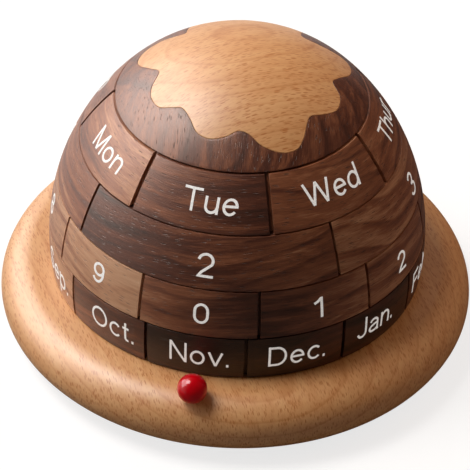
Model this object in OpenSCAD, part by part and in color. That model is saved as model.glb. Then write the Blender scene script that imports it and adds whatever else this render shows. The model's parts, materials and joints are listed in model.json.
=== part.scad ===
// Perpetual desk calendar: four numbered rings turn on a post in a round base,
// under a fixed crown, and together they make one dome. Set by hand each day
// against the ball pointer on the base.
//
// Millimetres. The origin is on the surface that the calendar stands on, below
// the post's axis. +Z is up and the pointer is at -Y.

/* [Base] */
// Widest diameter of the base
base_d = 125; // [120:1:140]
// Thickness of the base, from its underside to its top face
base_t = 16.2; // [15:0.1:20]
// Height of the base's widest line above its underside
nose_h = 7.8; // [5:0.1:10]
// How far the upper edge rounds inwards from the widest line
rim_top_w = 8.5; // [4:0.5:12]
// How far the lower edge rounds inwards from the widest line
rim_under_w = 10.5; // [4:0.5:12]

/* [Felt pads] */
// Number of pads under the base
pad_count = 4; // [3:1:8]
// Diameter of a pad
pad_d = 12; // [8:1:16]
// Thickness of a pad
pad_t = 1.5; // [1.2:0.1:3]
// How deep a pad is let into the underside
pad_sink = 0.7; // [0.3:0.1:1]
// Diameter of the circle that the pads stand on
pad_circle_d = 84; // [60:1:86]

/* [Dome] */
// Widest diameter of the dome of rings
dome_d = 98.8; // [94:0.2:104]
// Diameter of the dome at the crown's foot
crown_d = 64.6; // [60:0.2:70]
// Height of the crown, from its foot to the top
crown_h = 14; // [12:0.5:17]
// Height that the month ring takes up
month_h = 13; // [11:0.5:16]
// Height that the ring of day units takes up
units_h = 13; // [11:0.5:16]
// Height that the ring of day tens takes up
tens_h = 13; // [11:0.5:16]
// Height that the weekday ring takes up
weekday_h = 12; // [10:0.5:15]
// Open gap under each ring and under the crown
ring_gap = 0.4; // [0.2:0.05:0.6]
// Chamfer on the outer edges of the rings and the crown
edge_ease = 0.4; // [0.2:0.1:0.8]

/* [Grooves] */
// Depth of the grooves between two tiles of a ring
groove_depth = 1.2; // [0.6:0.1:2]
// Width of the grooves in the month ring
month_groove_w = 0.9; // [0.5:0.1:1.5]
// Width of the grooves in the ring of day units
units_groove_w = 0.8; // [0.5:0.1:1.5]
// Width of the grooves in the ring of day tens
tens_groove_w = 0.8; // [0.5:0.1:1.5]
// Width of the grooves in the weekday ring
weekday_groove_w = 1.1; // [0.5:0.1:1.5]

/* [Ring settings] */
// How far the month at the pointer stands past it, to the right
month_turn = -1.5; // [-15:0.1:15]
// How far the unit at the pointer stands past it, to the right
units_turn = -1; // [-18:0.1:18]
// How far the ten at the pointer stands past it, to the right
tens_turn = -2.1; // [-45:0.1:45]
// How far the weekday at the pointer stands past it, to the right
weekday_turn = -4.1; // [-25:0.1:25]

/* [Post and glide washers] */
// Diameter of the post
post_d = 16; // [14:0.5:20]
// Diameter of the tenon that the crown fits over
tenon_d = 12; // [9:0.5:13]
// Depth of the post's socket in the base
socket_depth = 8; // [5:0.5:9]
// Radial clearance of the rings on the post
running_fit = 0.08; // [0.02:0.01:0.1]
// Outer diameter of a glide washer
glide_d = 34; // [26:1:44]
// Thickness of a glide washer
glide_t = 1; // [0.7:0.1:2]
// Clearance between a glide washer and the ring above it
glide_play = 0.05; // [0.02:0.01:0.1]
// Radial clearance round a glide washer and the post
glide_clear = 0.2; // [0.1:0.05:0.5]

/* [Pointer] */
// Diameter of the ball pointer
pointer_d = 7.5; // [6:0.1:9]
// Where the ball's middle stands, from 0 at the dome to 1 at the base's widest line
pointer_share = 0.6; // [0.5:0.01:0.7]
// How far the ball is let into the base, straight below its middle
pointer_sink = 0.1; // [0:0.05:0.5]
// Diameter of the pin that holds the ball
pin_d = 1.6; // [1.2:0.1:2.5]
// Depth of the pin in the base
pin_in_base = 6; // [4:0.5:9]
// Depth of the pin in the ball
pin_in_ball = 4.5; // [2:0.5:5]

/* [Crown and inlay] */
// Walnut left between the crown's foot and the inlay's longest lobe, seen from above
inlay_margin = 2.8; // [2:0.1:6]
// How far the inlay stands turned past the pointer, to the right
inlay_turn = -2.6; // [-180:0.1:180]
// Thickness of the crown under the inlay
crown_web = 1.5; // [1:0.1:2]
// Thickness of the glue between two fixed pieces
glue_line = 0.05; // [0.02:0.01:0.1]

/* [Fixings] */
// Diameter of a wood screw's shank
screw_d = 3.5; // [3:0.1:4.5]
// Length of a wood screw under its head
screw_l = 25; // [16:1:26]
// Length of a wood screw's point
screw_point = 4; // [2:0.5:6]
// Diameter of a wood screw's head
screw_head_d = 7; // [6:0.1:9]
// Height of a wood screw's head
screw_head_h = 2.4; // [1.6:0.1:3]
// Width of the cross in a wood screw's head
screw_cross_w = 1; // [0.6:0.1:1.4]
// Outer diameter of a screw's washer
fixing_d = 16; // [14:0.5:20]
// Thickness of a screw's washer
fixing_t = 1.2; // [0.8:0.1:1.6]
// Clearance round a screw, its washer and its head
fixing_clear = 0.4; // [0.2:0.1:0.8]

/* [Hidden] */

$fn = 180;
eps = 0.01;
spare = 1;       // how far a cutting shape reaches past what it cuts

BEECH = "#d9a871";
WALNUT = "#4a2a1c";
FELT = "#3a3a38";
NYLON = "#e9e6dc";
STEEL = "#a9abad";
LACQUER = "#c4101c";

months = 12;
units = 10;
tens = 4;
weekdays = 7;

base_r = base_d / 2;
dome_r = dome_d / 2;
crown_r = crown_d / 2;
post_r = post_d / 2;
glide_r = glide_d / 2;
pointer_r = pointer_d / 2;
fixing_r = fixing_d / 2;

// Levels, from the ground up. A ring's level is the top of what is below it.
z_under = pad_t + glue_line - pad_sink;
z_nose = z_under + nose_h;
z_top = z_under + base_t;
z_month = z_top;
z_units = z_month + month_h;
z_tens = z_units + units_h;
z_weekday = z_tens + tens_h;
z_crown = z_weekday + weekday_h;
z_apex = z_crown + crown_h;

// The crown is a cap of a sphere. The rings follow an arc that leaves the sphere
// at the crown's foot in the same direction, and is upright where the dome is widest.
cap_r = (crown_r * crown_r + crown_h * crown_h) / (2 * crown_h);
cap_z = z_apex - cap_r;
lean_r = crown_r / cap_r;
lean_z = (z_crown - cap_z) / cap_r;
side_r = (dome_r - crown_r) / (1 - lean_r);
side_x = dome_r - side_r;
side_z = z_crown - side_r * lean_z;

// Radius of the dome at a height.
function dome_at(z) =
    z > z_crown
        ? sqrt(cap_r * cap_r - (z - cap_z) * (z - cap_z))
        : side_x + sqrt(side_r * side_r - (z - side_z) * (z - side_z));

// Point on the chamfer that starts at an edge's height and ends ease above or
// below it, carried on past the dome's surface.
function chamfer_out(edge_z, ease) =
    let (start = [dome_at(edge_z) - edge_ease, edge_z],
         end = [dome_at(edge_z + ease), edge_z + ease])
    end + (end - start) / norm(end - start) * spare;

// A glide washer lies in a seat in the top of the piece below and stands out of it.
glide_seat = glide_t - ring_gap + glide_play;
glide_seat_r = glide_r + glide_clear;

z_socket = z_top - socket_depth;
z_shoulder = z_crown + ring_gap;
z_pocket = z_shoulder + crown_web;
z_tenon = z_pocket - fixing_clear / 2;
fixing_room = fixing_t + screw_head_h + fixing_clear;
z_base_fixing = z_under + fixing_room;

// The ball stands in a dimple in the base's rolled edge, on a pin that goes down
// from it. The edge is a quarter of an ellipse.
function rim_at(radius) =
    let (share = max(0, radius - (base_r - rim_top_w)) / rim_top_w)
    z_nose + (z_top - z_nose) * sqrt(1 - share * share);
pointer_reach = dome_r + (base_r - dome_r) * pointer_share;
z_pointer = rim_at(pointer_reach) + pointer_r - pointer_sink;
z_pin = z_pointer - pointer_r - pin_in_base;

// ---------------------------------------------------------------- shared shapes

// The half disc to the right of the axis that a ring's outer face is turned from.
module side_disc(inset = 0) {
    translate([side_x, side_z]) circle(r = side_r - inset);
}

// Section of a ring, before the dome's arc trims it: the bore, the chamfers of its
// two outer corners, and the seat of a glide washer in its top.
module ring_section(low, high) {
    bore_r = post_r + running_fit;
    low_out = chamfer_out(low, edge_ease);
    high_out = chamfer_out(high, -edge_ease);
    polygon([
        [bore_r, low],
        [dome_at(low) - edge_ease, low],
        low_out,
        [dome_r + 2 * spare, low_out[1]],
        [dome_r + 2 * spare, high_out[1]],
        high_out,
        [dome_at(high) - edge_ease, high],
        [glide_seat_r, high],
        [glide_seat_r, high - glide_seat],
        [bore_r, high - glide_seat],
    ]);
}

// Flat washer between two levels.
module washer(low, thick, outer_r, inner_r) {
    translate([0, 0, low]) difference() {
        cylinder(r = outer_r, h = thick);
        translate([0, 0, -spare]) cylinder(r = inner_r, h = thick + 2 * spare);
    }
}

// Glide washer in the seat below a ring's level.
module glide_washer(level) {
    color(NYLON)
        washer(level + ring_gap - glide_play - glide_t, glide_t, glide_r, post_r + glide_clear);
}

// Wood screw with a domed head. Its point is down and the head's seat is at z = 0.
module wood_screw() {
    head_r = screw_head_d / 2;
    dome = (head_r * head_r + screw_head_h * screw_head_h) / (2 * screw_head_h);
    color(STEEL) difference() {
        union() {
            rotate_extrude() intersection() {
                translate([0, screw_head_h - dome]) circle(r = dome);
                square([head_r, screw_head_h]);
            }
            translate([0, 0, -(screw_l - screw_point)])
                cylinder(d = screw_d, h = screw_l - screw_point + eps);
            translate([0, 0, -screw_l])
                cylinder(r1 = 0, r2 = screw_d / 2, h = screw_point);
        }
        for (a = [0, 90]) rotate([0, 0, a])
            translate([-screw_head_d / 4, -screw_cross_w / 2, screw_head_h / 2])
                cube([screw_head_d / 2, screw_cross_w, screw_head_h]);
    }
}

// Turned ring of the dome with one groove between each two tiles. A tile's middle
// is at the pointer when turn is 0.
module dome_ring(level, height, tiles, groove_w, turn) {
    low = level + ring_gap;
    high = level + height;
    inner_r = min(dome_at(low), dome_at(high)) - groove_depth - spare;
    color(WALNUT) rotate([0, 0, turn - 90]) difference() {
        rotate_extrude() intersection() {
            side_disc();
            ring_section(low, high);
        }
        difference() {
            for (k = [0 : tiles - 1]) rotate([0, 0, (k + 0.5) * 360 / tiles])
                translate([inner_r, -groove_w / 2, low - spare])
                    cube([dome_r - inner_r + spare, groove_w, high - low + 2 * spare]);
            rotate_extrude() intersection() {
                side_disc(groove_depth);
                translate([post_r, low - 2 * spare])
                    square([dome_r, high - low + 4 * spare]);
            }
        }
    }
}

// ---------------------------------------------------------------- base

// Quarter of an ellipse, for the base's edge. It grows out and up from its corner,
// or out and down when up is -1.
module edge_quarter(w, h, up) {
    intersection() {
        scale([w, h]) circle(r = 1);
        translate([0, up > 0 ? 0 : -h]) square([w, h]);
    }
}

// Turned saucer with a fat rolled rim, the post's socket above and the recess of
// its screw below.
module base() {
    color(BEECH) difference() {
        rotate_extrude() difference() {
            union() {
                translate([0, z_nose]) square([base_r - rim_top_w, z_top - z_nose]);
                translate([0, z_under]) square([base_r - rim_under_w, z_nose - z_under]);
                translate([base_r - rim_top_w, z_nose])
                    edge_quarter(rim_top_w, z_top - z_nose, 1);
                translate([base_r - rim_under_w, z_nose])
                    edge_quarter(rim_under_w, z_nose - z_under, -1);
            }
            translate([0, z_socket]) square([post_r + glue_line, socket_depth + spare]);
            translate([0, z_top - glide_seat]) square([glide_seat_r, glide_seat + spare]);
            translate([0, z_under - spare])
                square([fixing_r + fixing_clear, fixing_room + spare]);
            square([screw_d / 2 + fixing_clear, z_top]);
        }
        pad_places() translate([0, 0, -spare])
            cylinder(d = pad_d + 2 * glue_line, h = pad_sink + spare);
        pointer_seat();
    }
}

// The dimple that the ball stands in, with its pin's hole, as one turned cut.
module pointer_seat() {
    seat_r = pointer_r + glue_line;
    translate([0, -pointer_reach, z_pointer]) rotate_extrude() {
        intersection() {
            circle(r = seat_r);
            translate([0, -seat_r]) square([seat_r, 2 * seat_r]);
        }
        translate([0, z_pin - z_pointer])
            square([pin_d / 2 + glue_line, pin_in_base + spare]);
    }
}

module pad_places() {
    for (k = [0 : pad_count - 1]) rotate([0, 0, (k + 0.5) * 360 / pad_count])
        translate([pad_circle_d / 2, 0, z_under]) children();
}

module foot_pads() {
    color(FELT) pad_places()
        translate([0, 0, pad_sink - glue_line - pad_t]) cylinder(d = pad_d, h = pad_t);
}

module base_screw() {
    translate([0, 0, z_base_fixing - fixing_t]) mirror([0, 0, 1]) wood_screw();
}

module base_screw_washer() {
    color(STEEL)
        washer(z_base_fixing - fixing_t, fixing_t, fixing_r, screw_d / 2 + fixing_clear / 2);
}

// ---------------------------------------------------------------- post and pointer

// Dowel with a shoulder for the crown and a pilot hole in each end.
module post() {
    pilot_r = screw_d / 2 + glue_line;
    base_pilot_end = z_base_fixing - fixing_t + screw_l + spare;
    crown_pilot_end = z_pocket + fixing_t - screw_l - spare;
    color(BEECH) difference() {
        union() {
            translate([0, 0, z_socket + glue_line])
                cylinder(r = post_r, h = z_shoulder - z_socket - glue_line);
            translate([0, 0, z_shoulder - eps])
                cylinder(d = tenon_d, h = z_tenon - z_shoulder + eps);
        }
        translate([0, 0, z_socket]) cylinder(r = pilot_r, h = base_pilot_end - z_socket);
        translate([0, 0, crown_pilot_end]) cylinder(r = pilot_r, h = z_pocket - crown_pilot_end);
    }
}

module pointer_pin() {
    color(STEEL) translate([0, -pointer_reach, z_pin + glue_line])
        cylinder(d = pin_d, h = pin_in_base + pin_in_ball - 2 * glue_line);
}

module pointer_ball() {
    color(LACQUER) translate([0, -pointer_reach, z_pointer]) difference() {
        sphere(r = pointer_r);
        translate([0, 0, -pointer_r - spare])
            cylinder(d = pin_d + 2 * glue_line, h = pin_in_ball + spare);
    }
}

// ---------------------------------------------------------------- rings

module washer_under_months() { glide_washer(z_month); }

module month_ring() { dome_ring(z_month, month_h, months, month_groove_w, month_turn); }

module washer_under_units() { glide_washer(z_units); }

module units_ring() { dome_ring(z_units, units_h, units, units_groove_w, units_turn); }

module washer_under_tens() { glide_washer(z_tens); }

module tens_ring() { dome_ring(z_tens, tens_h, tens, tens_groove_w, tens_turn); }

module washer_under_weekdays() { glide_washer(z_weekday); }

module weekday_ring() {
    dome_ring(z_weekday, weekday_h, weekdays, weekday_groove_w, weekday_turn);
}

module washer_under_crown() { glide_washer(z_crown); }

// ---------------------------------------------------------------- crown and inlay

// The inlay's edge seen from above, as a run of soft lobes. Each point is an angle
// to the right of the inlay's front, and a reach in hundredths of the longest.
LOBE_SHARES = [
    [-168, 84], [-160, 92], [-152, 98], [-143, 96], [-135, 87], [-128, 77],
    [-120, 70], [-112, 88], [-104, 95], [-94, 94], [-86, 88], [-78, 78],
    [-70, 71], [-59, 80], [-51, 84], [-42, 84], [-34, 78],
    [-28, 75], [-20, 79], [-12, 87], [-4, 89], [4, 86],
    [11, 81], [17, 83], [24, 92], [33, 98], [41, 98], [47, 92], [53, 84],
    [58, 81], [66, 85], [76, 89], [86, 86],
    [94, 77], [101, 81], [111, 92], [121, 98], [130, 97], [138, 78],
    [146, 71], [153, 78], [158, 90], [166, 98], [176, 95], [184, 88],
];
FLOW_SHARES = [0, 0.25, 0.5, 0.75];  // points drawn on the curve from a lobe point to the next
inlay_r = crown_r - inlay_margin;

function lobe_point(i, reach) =
    let (lobe = LOBE_SHARES[(i + len(LOBE_SHARES)) % len(LOBE_SHARES)])
    reach * lobe[1] / 100 * [sin(lobe[0]), -cos(lobe[0])];

// Point on the smooth curve through four points, from the second to the third.
function flow(a, b, c, d, t) =
    (2 * b + (c - a) * t + (2 * a - 5 * b + 4 * c - d) * t * t
     + (3 * b - a - 3 * c + d) * t * t * t) / 2;

module inlay_plan(reach) {
    rotate([0, 0, inlay_turn]) polygon([
        for (i = [0 : len(LOBE_SHARES) - 1], share = FLOW_SHARES)
            flow(lobe_point(i - 1, reach), lobe_point(i, reach),
                 lobe_point(i + 1, reach), lobe_point(i + 2, reach), share)
    ]);
}

// The disc that the crown and its inlay are turned from.
module cap_disc() {
    translate([0, cap_z]) circle(r = cap_r);
}

// Fixed top of the dome. It sits on the post's shoulder and holds the inlay in a
// pocket with the same lobes.
module crown() {
    bore_r = tenon_d / 2 + glue_line;
    low_out = chamfer_out(z_shoulder, edge_ease);
    color(WALNUT) difference() {
        rotate_extrude() intersection() {
            cap_disc();
            polygon([
                [bore_r, z_shoulder],
                [dome_at(z_shoulder) - edge_ease, z_shoulder],
                low_out,
                [dome_r, low_out[1]],
                [dome_r, z_apex + spare],
                [bore_r, z_apex + spare],
            ]);
        }
        translate([0, 0, z_pocket]) linear_extrude(crown_h) inlay_plan(inlay_r);
    }
}

module crown_screw_washer() {
    color(STEEL) washer(z_pocket, fixing_t, fixing_r, screw_d / 2 + fixing_clear / 2);
}

module crown_screw() {
    translate([0, 0, z_pocket + fixing_t]) wood_screw();
}

// Beech plug in the crown's pocket. Its top carries on the crown's sphere, and a
// recess below clears the screw.
module crown_inlay() {
    color(BEECH) difference() {
        intersection() {
            rotate_extrude() intersection() {
                cap_disc();
                translate([0, z_pocket + glue_line]) square([crown_r, crown_h]);
            }
            translate([0, 0, z_pocket]) linear_extrude(crown_h) inlay_plan(inlay_r - glue_line);
        }
        translate([0, 0, z_pocket]) cylinder(r = fixing_r + fixing_clear, h = fixing_room);
    }
}

base();
foot_pads();
base_screw();
base_screw_washer();
post();
pointer_pin();
pointer_ball();
washer_under_months();
month_ring();
washer_under_units();
units_ring();
washer_under_tens();
tens_ring();
washer_under_weekdays();
weekday_ring();
washer_under_crown();
crown();
crown_screw_washer();
crown_screw();
crown_inlay();
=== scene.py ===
"""A perpetual desk calendar: a walnut dome of four turning rings on a beech base.

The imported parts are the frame. This file dresses them: it models the turned wood,
the inlay, the ball pointer, the felt pads and the painted letters, gives every
part its finish, and sets up a plain studio round it. Lengths are in metres.
"""

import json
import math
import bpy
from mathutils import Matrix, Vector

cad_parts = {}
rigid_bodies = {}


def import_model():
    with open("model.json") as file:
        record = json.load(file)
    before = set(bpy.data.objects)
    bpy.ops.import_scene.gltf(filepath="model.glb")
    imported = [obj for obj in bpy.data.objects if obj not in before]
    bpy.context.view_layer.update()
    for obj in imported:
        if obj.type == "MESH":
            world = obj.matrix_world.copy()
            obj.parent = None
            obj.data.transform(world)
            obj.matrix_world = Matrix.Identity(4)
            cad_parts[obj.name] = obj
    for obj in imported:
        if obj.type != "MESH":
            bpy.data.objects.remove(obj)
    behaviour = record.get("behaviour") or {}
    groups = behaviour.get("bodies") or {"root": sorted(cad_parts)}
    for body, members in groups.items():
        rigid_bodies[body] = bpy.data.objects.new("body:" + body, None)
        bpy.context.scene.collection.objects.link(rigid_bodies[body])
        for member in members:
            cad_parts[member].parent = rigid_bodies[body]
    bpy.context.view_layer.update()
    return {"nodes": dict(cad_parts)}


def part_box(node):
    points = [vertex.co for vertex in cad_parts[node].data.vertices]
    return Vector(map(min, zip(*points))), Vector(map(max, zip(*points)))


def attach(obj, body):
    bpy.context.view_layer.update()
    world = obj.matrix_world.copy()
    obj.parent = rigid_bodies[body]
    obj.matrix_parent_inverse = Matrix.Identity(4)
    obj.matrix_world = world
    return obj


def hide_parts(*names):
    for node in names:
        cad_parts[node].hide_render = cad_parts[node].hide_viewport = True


bl_info = {
    "name": "Perpetual desk calendar",
    "version": (1, 0, 0),
    "blender": (4, 5, 0),
    "location": "3D Viewport > Sidebar > Calendar",
    "description": "Dresses the parts of a turned wooden desk calendar with four rings",
    "category": "Add Mesh",
}

from collections import namedtuple

import bmesh
import bpy
from bpy.props import FloatProperty, FloatVectorProperty, PointerProperty
from bpy.types import Operator, Panel, PropertyGroup
from mathutils import Matrix, Vector

for leftover in list(bpy.data.objects):
    bpy.data.objects.remove(leftover)
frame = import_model()

MM = 0.001
WELD = 0.5e-6  # points closer than this are one point
SHARP = math.radians(38)  # a crease steeper than this stays a hard edge
CREASE = math.radians(30)  # a crease steeper than this can be rounded over
TURN_STEPS = 288  # faces round a turned piece
RING_STEPS = 216  # faces round a ring, beside those of its grooves
RIM_STEPS = 26  # faces across each half of the base's rolled rim
FLAT_STEPS = 6  # faces across each of the base's flats
FACE_STEPS = 9  # faces up a ring's face, and across the crown's
INLAY_STEPS = 13  # faces from near the inlay's middle to its edge
BALL_STEPS = 64  # faces up the ball
PAD_STEPS = 48  # faces round a felt pad
SHANK = 0.5  # a screw's shank is this share of its head's width
LIP = 0.7 * MM  # height of the faces along a ring's two edges
CORE = 3 * MM  # a ring is uncut from this far inside its face
LEAN = 6  # most that a stave's fibres lean off level, in degrees
LAMP_AIM = 0.03  # height of the point that the lamps face
LAMP_DISTANCE = 1.1  # from that point to each lamp
FLOOR_RADIUS = 4
POINTER = math.radians(-90)  # angle round the axis at which the date is read

Ring = namedtuple("Ring", "node groove turn cap spread tiles")
Tile = namedtuple("Tile", "text right up tone")
Grain = namedtuple("Grain", "heading tilt shift")

# A ring's turn is how far right of the pointer the tile that is read there stands, in
# degrees. Its cap is the height of a capital letter, and its spread how wide the
# letters are set. Tiles run to the right. Their labels were laid by hand, a few tenths
# of a millimetre right of and above the middle. Their walnut has a tone at the left
# end and one at the right, from 0 for dark heartwood to a little over 1 for sapwood.
# These tones are partly each stave's own tone and partly painted light, shade and
# sheen: they were set to how light each end of a tile looks as lit.
RINGS = (
    Ring("month_ring", 0.9 * MM, -1.5, 6.4 * MM, 0.89, (
        Tile("Nov.", 1.2, 0.4, (0.0, 0.10)), Tile("Dec.", 0.2, 0.4, (0.04, 0.42)),
        Tile("Jan.", -1.9, 1.0, (0.26, 0.28)), Tile("Feb.", -2.6, 0.6, (0.44, 0.52)),
        Tile("Mar.", -0.8, 0.5, (0.40, 0.32)), Tile("Apr.", 0.6, 0.4, (0.50, 0.60)),
        Tile("May", -0.4, 0.6, (0.46, 0.38)), Tile("Jun.", 0.9, 0.3, (0.60, 0.72)),
        Tile("Jul.", 0.2, 0.5, (0.36, 0.32)), Tile("Aug.", 1.0, 0.6, (0.48, 0.56)),
        Tile("Sep.", 2.3, 0.5, (0.80, 1.12)), Tile("Oct.", 2.5, 0.8, (0.58, 0.42)))),
    Ring("units_ring", 0.8 * MM, -1.0, 5.75 * MM, 1.04, (
        Tile("0", 0.9, 0.1, (0.84, 0.48)), Tile("1", 0.0, -0.1, (0.44, 0.96)),
        Tile("2", -1.3, -0.2, (0.88, 0.78)), Tile("3", -0.6, 0.1, (0.70, 0.56)),
        Tile("4", 0.3, 0.2, (0.40, 0.48)), Tile("5", 0.5, -0.1, (0.64, 0.76)),
        Tile("6", -0.2, 0.0, (0.56, 0.44)), Tile("7", 0.4, 0.3, (0.34, 0.42)),
        Tile("8", 0.8, 0.4, (0.90, 1.04)), Tile("9", 1.5, 0.6, (1.08, 1.22)))),
    Ring("tens_ring", 0.8 * MM, -2.1, 6.4 * MM, 1.06, (
        Tile("2", 1.8, -0.6, (0.34, 0.78)), Tile("3", 0.8, -0.9, (0.94, 0.76)),
        Tile("0", 0.3, -0.4, (0.44, 0.58)), Tile("1", 0.9, -0.2, (0.66, 0.70)))),
    Ring("weekday_ring", 1.1 * MM, -4.1, 5.9 * MM, 1.0, (
        Tile("Tue", 2.3, 0.6, (0.64, 0.42)), Tile("Wed", 0.9, 0.7, (0.76, 0.76)),
        Tile("Thur", 0.4, 0.6, (0.80, 0.62)), Tile("Fri", 0.8, 0.5, (0.60, 0.72)),
        Tile("Sat", 1.1, 0.6, (0.48, 0.40)), Tile("Sun", 0.6, 0.7, (0.56, 0.62)),
        Tile("Mon", 1.9, 0.6, (0.70, 0.90)))),
)
CROWN_TONE = 0.54

# A grain's heading is how far right of the pointer its fibres run, and its tilt how far
# off level, in degrees. Its shift is the piece's place in the board, in millimetres.
CROWN_GRAIN = Grain(8, -34, (5, -24, -31))
BASE_GRAIN = Grain(29, 2, (0, 9, -74))
INLAY_GRAIN = Grain(123, -4, (14, -20, -120))
POST_GRAIN = Grain(0, 90, (0, 15, 12))

# The inlay's edge seen from above, as a run of soft lobes. Each point is an angle
# to the right of the inlay's front, and a reach in hundredths of the longest.
LOBES = (
    (-168, 84), (-160, 92), (-152, 98), (-143, 96), (-135, 87), (-128, 77),
    (-120, 70), (-112, 88), (-104, 95), (-94, 94), (-86, 88), (-78, 78),
    (-70, 71), (-59, 80), (-51, 84), (-42, 84), (-34, 78),
    (-28, 75), (-20, 79), (-12, 87), (-4, 89), (4, 86),
    (11, 81), (17, 83), (24, 92), (33, 98), (41, 98), (47, 92), (53, 84),
    (58, 81), (66, 85), (76, 89), (86, 86),
    (94, 77), (101, 81), (111, 92), (121, 98), (130, 97), (138, 78),
    (146, 71), (153, 78), (158, 90), (166, 98), (176, 95), (184, 88),
)
LOBE_STEPS = 8

# The letters' strokes, along their middles, on a grid that has 100 steps to the height
# of a capital. A glyph is its width and its strokes, and a stroke goes through points
# (x, y) and along arcs (x, y, half width, half height, from, to) in degrees.
GLYPHS = {
    "0": (66, ((33, 62, 27, 32, 0, 180), (33, 38, 27, 32, 180, 360), (60, 62))),
    "1": (44, ((4, 74), (22, 83), (36, 97)), ((37, 100), (37, 0))),
    "2": (66, ((33, 67, 26, 27, 170, -30), (22, 24), (9, 6), (64, 6))),
    "3": (66, ((31, 73, 23, 21, 160, -90), (32, 28, 28, 22, 90, -165))),
    "4": (68, ((50, 0), (50, 97)), ((49, 95), (7, 29), (66, 29))),
    "5": (66, ((58, 94), (19, 94), (11, 49), (32, 33, 28, 27, 140, -165))),
    "6": (66, ((36, 50, 30, 44, 40, 180), (33, 33, 27, 27, 180, 540))),
    "7": (64, ((4, 94), (60, 94), (40, 62), (28, 32), (24, 0))),
    "8": (66, ((33, 73, 22, 21, 0, 360),), ((33, 28, 27, 23, 0, 360),)),
    "9": (66, ((30, 50, 30, 44, 220, 360), (33, 67, 27, 27, 0, 360))),
    "A": (92, ((4, 0), (46, 98)), ((88, 0), (46, 98)), ((18, 34), (74, 34))),
    "D": (84, ((6, 0), (6, 100)), ((6, 94), (39, 94), (39, 50, 39, 44, 90, -90), (6, 6))),
    "F": (67, ((6, 0), (6, 94), (67, 94)), ((6, 52), (59, 52))),
    "J": (56, ((50, 100), (50, 28), (28, 28, 22, 22, 0, -170))),
    "M": (92, ((6, 0), (6, 100)), ((9, 97), (46, 4)), ((83, 97), (46, 4)),
          ((86, 0), (86, 100))),
    "N": (80, ((6, 0), (6, 100)), ((8, 96), (72, 4)), ((74, 0), (74, 100))),
    "O": (98, ((49, 50, 43, 44, 0, 360),)),
    "S": (78, ((39, 73, 28, 21, 15, 245), (40, 28, 32, 22, 65, -170))),
    "T": (78, ((0, 94), (78, 94)), ((39, 94), (39, 0))),
    "W": (122, ((4, 100), (29, 3)), ((29, 3), (61, 97)), ((61, 97), (93, 3)),
          ((93, 3), (118, 100))),
    "a": (64, ((32, 49, 23, 18, 160, 0), (55, 14), (59, 0)),
          ((55, 42), (28, 38), (25, 21, 19, 15, 90, 270), (34, 22, 21, 16, 270, 360))),
    "b": (66, ((6, 100), (6, 0)), ((34, 36, 27, 31, 0, 360),)),
    "c": (62, ((34, 36, 28, 31, 42, 318),)),
    "d": (66, ((60, 100), (60, 0)), ((32, 36, 27, 31, 0, 360),)),
    "e": (67, ((6, 38), (61, 38), (34, 36, 27, 31, 10, 322))),
    "g": (66, ((60, 72), (60, -2), (33, -2, 27, 20, 0, -160)), ((32, 36, 27, 31, 0, 360),)),
    "h": (61, ((6, 0), (6, 100)), ((6, 42), (31, 42, 24, 24, 180, 0), (55, 0))),
    "i": (12, ((6, 0), (6, 72)), ((6, 87), (6, 100))),
    "l": (12, ((6, 0), (6, 100))),
    "n": (61, ((6, 0), (6, 72)), ((6, 42), (31, 42, 24, 24, 180, 0), (55, 0))),
    "o": (68, ((34, 36, 28, 31, 0, 360),)),
    "p": (66, ((6, 72), (6, -28)), ((34, 36, 27, 31, 0, 360),)),
    "r": (36, ((6, 0), (6, 72)), ((6, 42), (28, 42, 22, 24, 180, 70))),
    "t": (34, ((15, 92), (15, 17), (27, 17, 12, 11, 180, 290)), ((0, 66), (33, 66))),
    "u": (61, ((55, 0), (55, 72)), ((6, 72), (6, 30), (30, 30, 24, 24, 180, 360))),
    "v": (66, ((4, 72), (33, 3)), ((62, 72), (33, 3))),
    "y": (66, ((4, 72), (33, 4)), ((62, 72), (32, -10), (22, -22), (8, -22))),
    ".": (13, ((6, 0), (6, 13))),
}
GLYPH_GAP = 13
CAPITAL = 100
JOINED = 1  # a glyph's points closer than this are one point
ARC_STEPS = 18
STROKE_STEP = 1 * MM  # longest face along a stroke
MITRE = 1.5  # longest mitre at a stroke's corner, in half widths of the stroke

# Each lamp's heading and rise in degrees, and its width and height in metres.
LAMPS = {
    "key_lamp": (-99, 60, 0.5, 0.5),
    "window_lamp": (-110, 30, 2.0, 1.1),
    "window_pane": (-114, 31, 1.4, 0.9),
    "side_lamp": (122, 33, 1.2, 0.8),
}


def linear(hex_colour):
    """Linear colour of an sRGB hex value such as #d9a871."""
    channels = [int(hex_colour[i:i + 2], 16) / 255 for i in (1, 3, 5)]
    return [c / 12.92 if c <= 0.04045 else ((c + 0.055) / 1.055) ** 2.4
            for c in channels] + [1.0]


def times(tone, share):
    """A colour made darker or lighter."""
    return [min(1, c * share) for c in tone[:3]] + [1.0]


# ---------------------------------------------------------------- settings

def length(name, description, value):
    return FloatProperty(name=name, description=description, default=value,
                         min=0, soft_max=2, unit="LENGTH", precision=5)


def angle(name, description, degrees):
    return FloatProperty(name=name, description=description,
                         default=math.radians(degrees), subtype="ANGLE")


def colour(name, description, hex_colour):
    return FloatVectorProperty(name=name, description=description, size=4, min=0, max=1,
                               subtype="COLOR", default=linear(hex_colour))


def power(name, description, watts):
    return FloatProperty(name=name, description=description, default=watts, min=0,
                         unit="POWER")


def amount(name, description, value):
    return FloatProperty(name=name, description=description, default=value, min=0)


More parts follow.
